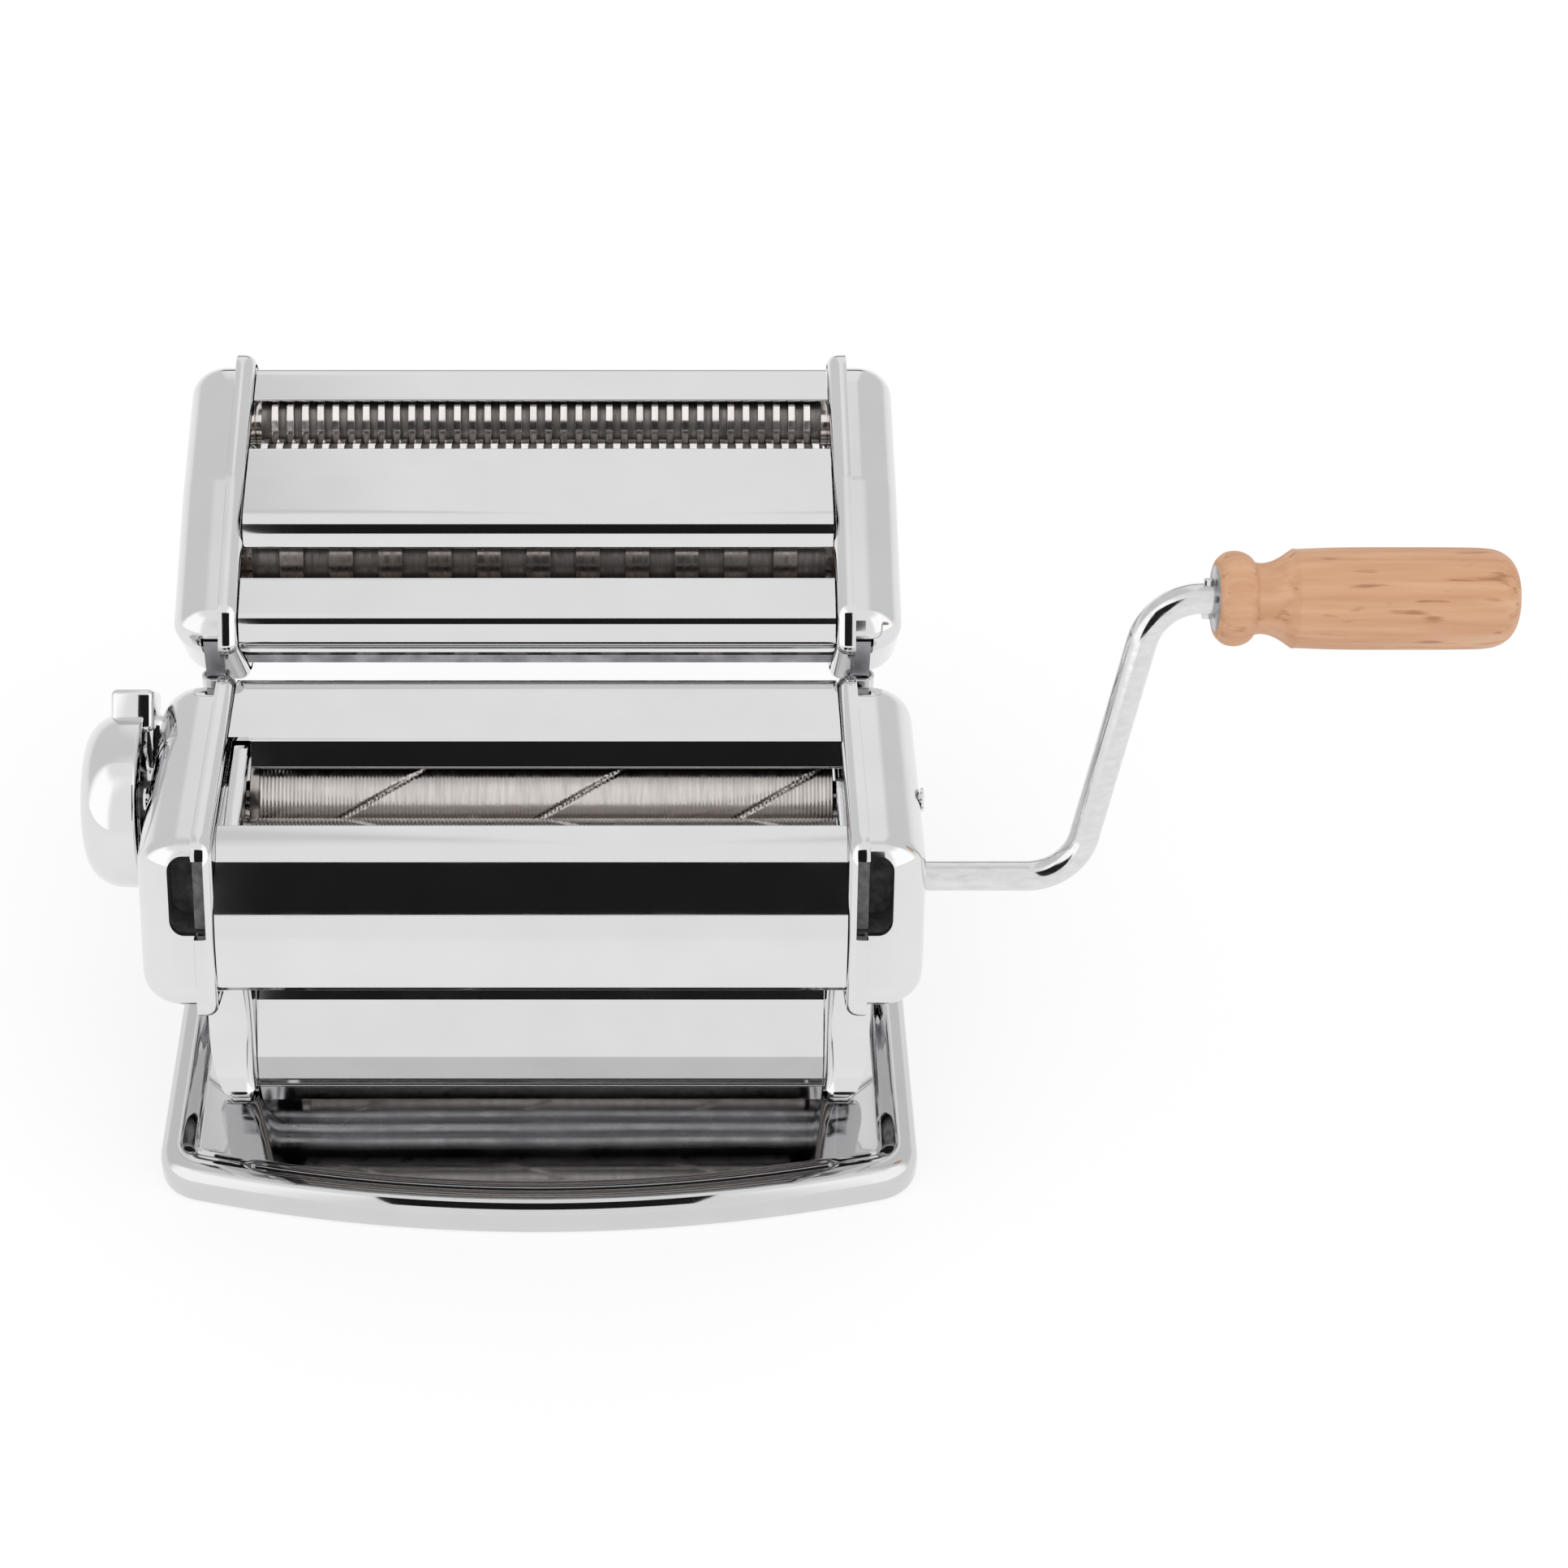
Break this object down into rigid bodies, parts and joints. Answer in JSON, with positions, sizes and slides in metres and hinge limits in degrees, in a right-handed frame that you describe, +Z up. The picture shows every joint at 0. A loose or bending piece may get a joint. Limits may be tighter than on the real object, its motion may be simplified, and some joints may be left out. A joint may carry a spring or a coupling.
{
  "type": "pasta roller machine",
  "caption": "Hand-cranked dough sheeting and noodle cutting machine with a gap knob, a lift-off twin cutter and a wooden grip.",
  "frame": {"origin": "on the table, under the middle of the base plate's straight sides", "axes": "+X towards the crank side, +Y towards the back where the cutter hangs, +Z up"},
  "size_m": [0.3519, 0.1839, 0.1762],
  "materials": {
    "chrome_sheet": "bright chromed steel sheet",
    "steel_parts": "zinc-plated steel",
    "roller_steel": "fine turned steel with spiral grooves",
    "gear_steel": "cut steel teeth, greased",
    "bronze_bush": "plain bearing metal",
    "beech": "turned beech with clear varnish"
  },
  "bodies": {
    "frame": {"base_plate": "chrome_sheet", "clamp_bracket": "steel_parts", "left_leg": "chrome_sheet", "right_leg": "chrome_sheet", "foot_screws": "steel_parts", "chute": "chrome_sheet", "left_head_plate": "chrome_sheet", "right_head_plate": "chrome_sheet", "left_end_cover": "chrome_sheet", "right_end_cover": "chrome_sheet", "front_cover": "chrome_sheet", "rear_cover": "chrome_sheet", "front_loops": "steel_parts", "rear_loops": "steel_parts", "tie_rods": "steel_parts", "tie_screws": "steel_parts", "front_bushes": "bronze_bush", "left_dough_guide": "chrome_sheet", "front_scraper": "steel_parts", "cover_posts": "steel_parts", "cover_screws": "steel_parts"},
    "front_roller": {"front_roller": "roller_steel", "drive_gear": "gear_steel"},
    "crank": {"crank_rod": "chrome_sheet"},
    "grip": {"grip": "beech", "grip_ferrule": "steel_parts"},
    "rear_carrier": {"bearing_block_left": "steel_parts", "bearing_block_right": "steel_parts", "carrier_bar": "steel_parts", "rear_scraper": "steel_parts"},
    "rear_roller": {"rear_roller": "roller_steel", "driven_gear": "gear_steel"},
    "setting_shaft": {"setting_shaft": "steel_parts", "shaft_washer": "steel_parts", "knob_spring": "steel_parts"},
    "knob": {"knob_body": "chrome_sheet", "knob_cover": "chrome_sheet"},
    "cutter": {"cutter_left_plate": "chrome_sheet", "cutter_right_plate": "chrome_sheet", "cutter_left_cover": "chrome_sheet", "cutter_right_cover": "chrome_sheet", "cutter_front_cover": "chrome_sheet", "cutter_middle_cover": "chrome_sheet", "cutter_rear_cover": "chrome_sheet", "cutter_tongues": "steel_parts", "cutter_tie_rods": "steel_parts", "cutter_tie_screws": "steel_parts", "cutter_bushes": "bronze_bush", "cutter_posts": "steel_parts", "cutter_cover_screws": "steel_parts", "fine_combs": "steel_parts", "wide_combs": "steel_parts"},
    "fine_front": {"fine_roller_front": "roller_steel", "fine_gear_front": "gear_steel"},
    "fine_rear": {"fine_roller_rear": "roller_steel", "fine_gear_rear": "gear_steel"},
    "wide_front": {"wide_roller_front": "roller_steel", "wide_gear_front": "gear_steel"},
    "wide_rear": {"wide_roller_rear": "roller_steel", "wide_gear_rear": "gear_steel"}
  },
  "joints": [
    {"name": "crank_turn", "type": "hinge", "parent": "frame", "child": "front_roller", "pos_m": [0, -0.0496, 0.092], "axis": [1, 0, 0], "continuous": true},
    {"name": "crank_pull", "type": "slide", "parent": "front_roller", "child": "crank", "axis": [1, 0, 0], "range_m": [0, 0.025]},
    {"name": "grip_spin", "type": "hinge", "parent": "crank", "child": "grip", "pos_m": [0.2, -0.03034, 0.16386], "axis": [1, 0, 0], "continuous": true},
    {"name": "gap_slide", "type": "slide", "parent": "frame", "child": "rear_carrier", "axis": [0, 1, 0], "range_m": [0, 0.002]},
    {"name": "rear_roller_turn", "type": "hinge", "parent": "rear_carrier", "child": "rear_roller", "pos_m": [0, -0.0204, 0.092], "axis": [1, 0, 0], "continuous": true},
    {"name": "knob_turn", "type": "hinge", "parent": "frame", "child": "setting_shaft", "pos_m": [-0.1, -0.0204, 0.092], "axis": [-1, 0, 0], "range_deg": [0, 150]},
    {"name": "knob_pull", "type": "slide", "parent": "setting_shaft", "child": "knob", "axis": [-1, 0, 0], "range_m": [0, 0.003], "stiffness_N_per_m": 800, "springref_m": -0.003, "deforming": ["knob_spring"]},
    {"name": "cutter_lift", "type": "slide", "parent": "frame", "child": "cutter", "axis": [0, 0, 1], "range_m": [0, 0.06]},
    {"name": "fine_cutter_turn", "type": "hinge", "parent": "cutter", "child": "fine_front", "pos_m": [0, 0.0664, 0.1335], "axis": [1, 0, 0], "continuous": true},
    {"name": "fine_rear_turn", "type": "hinge", "parent": "cutter", "child": "fine_rear", "pos_m": [0, 0.08348, 0.1385], "axis": [1, 0, 0], "continuous": true},
    {"name": "wide_cutter_turn", "type": "hinge", "parent": "cutter", "child": "wide_front", "pos_m": [0, 0.0259, 0.1168], "axis": [1, 0, 0], "continuous": true},
    {"name": "wide_rear_turn", "type": "hinge", "parent": "cutter", "child": "wide_rear", "pos_m": [0, 0.04265, 0.12283], "axis": [1, 0, 0], "continuous": true}
  ],
  "couplings": [
    {"joint": "rear_roller_turn", "follows": "crank_turn", "ratio": -1},
    {"joint": "knob_turn", "follows": "gap_slide", "rad_per_m": 1308.9},
    {"joint": "fine_rear_turn", "follows": "fine_cutter_turn", "ratio": -1},
    {"joint": "wide_rear_turn", "follows": "wide_cutter_turn", "ratio": -1}
  ]
}
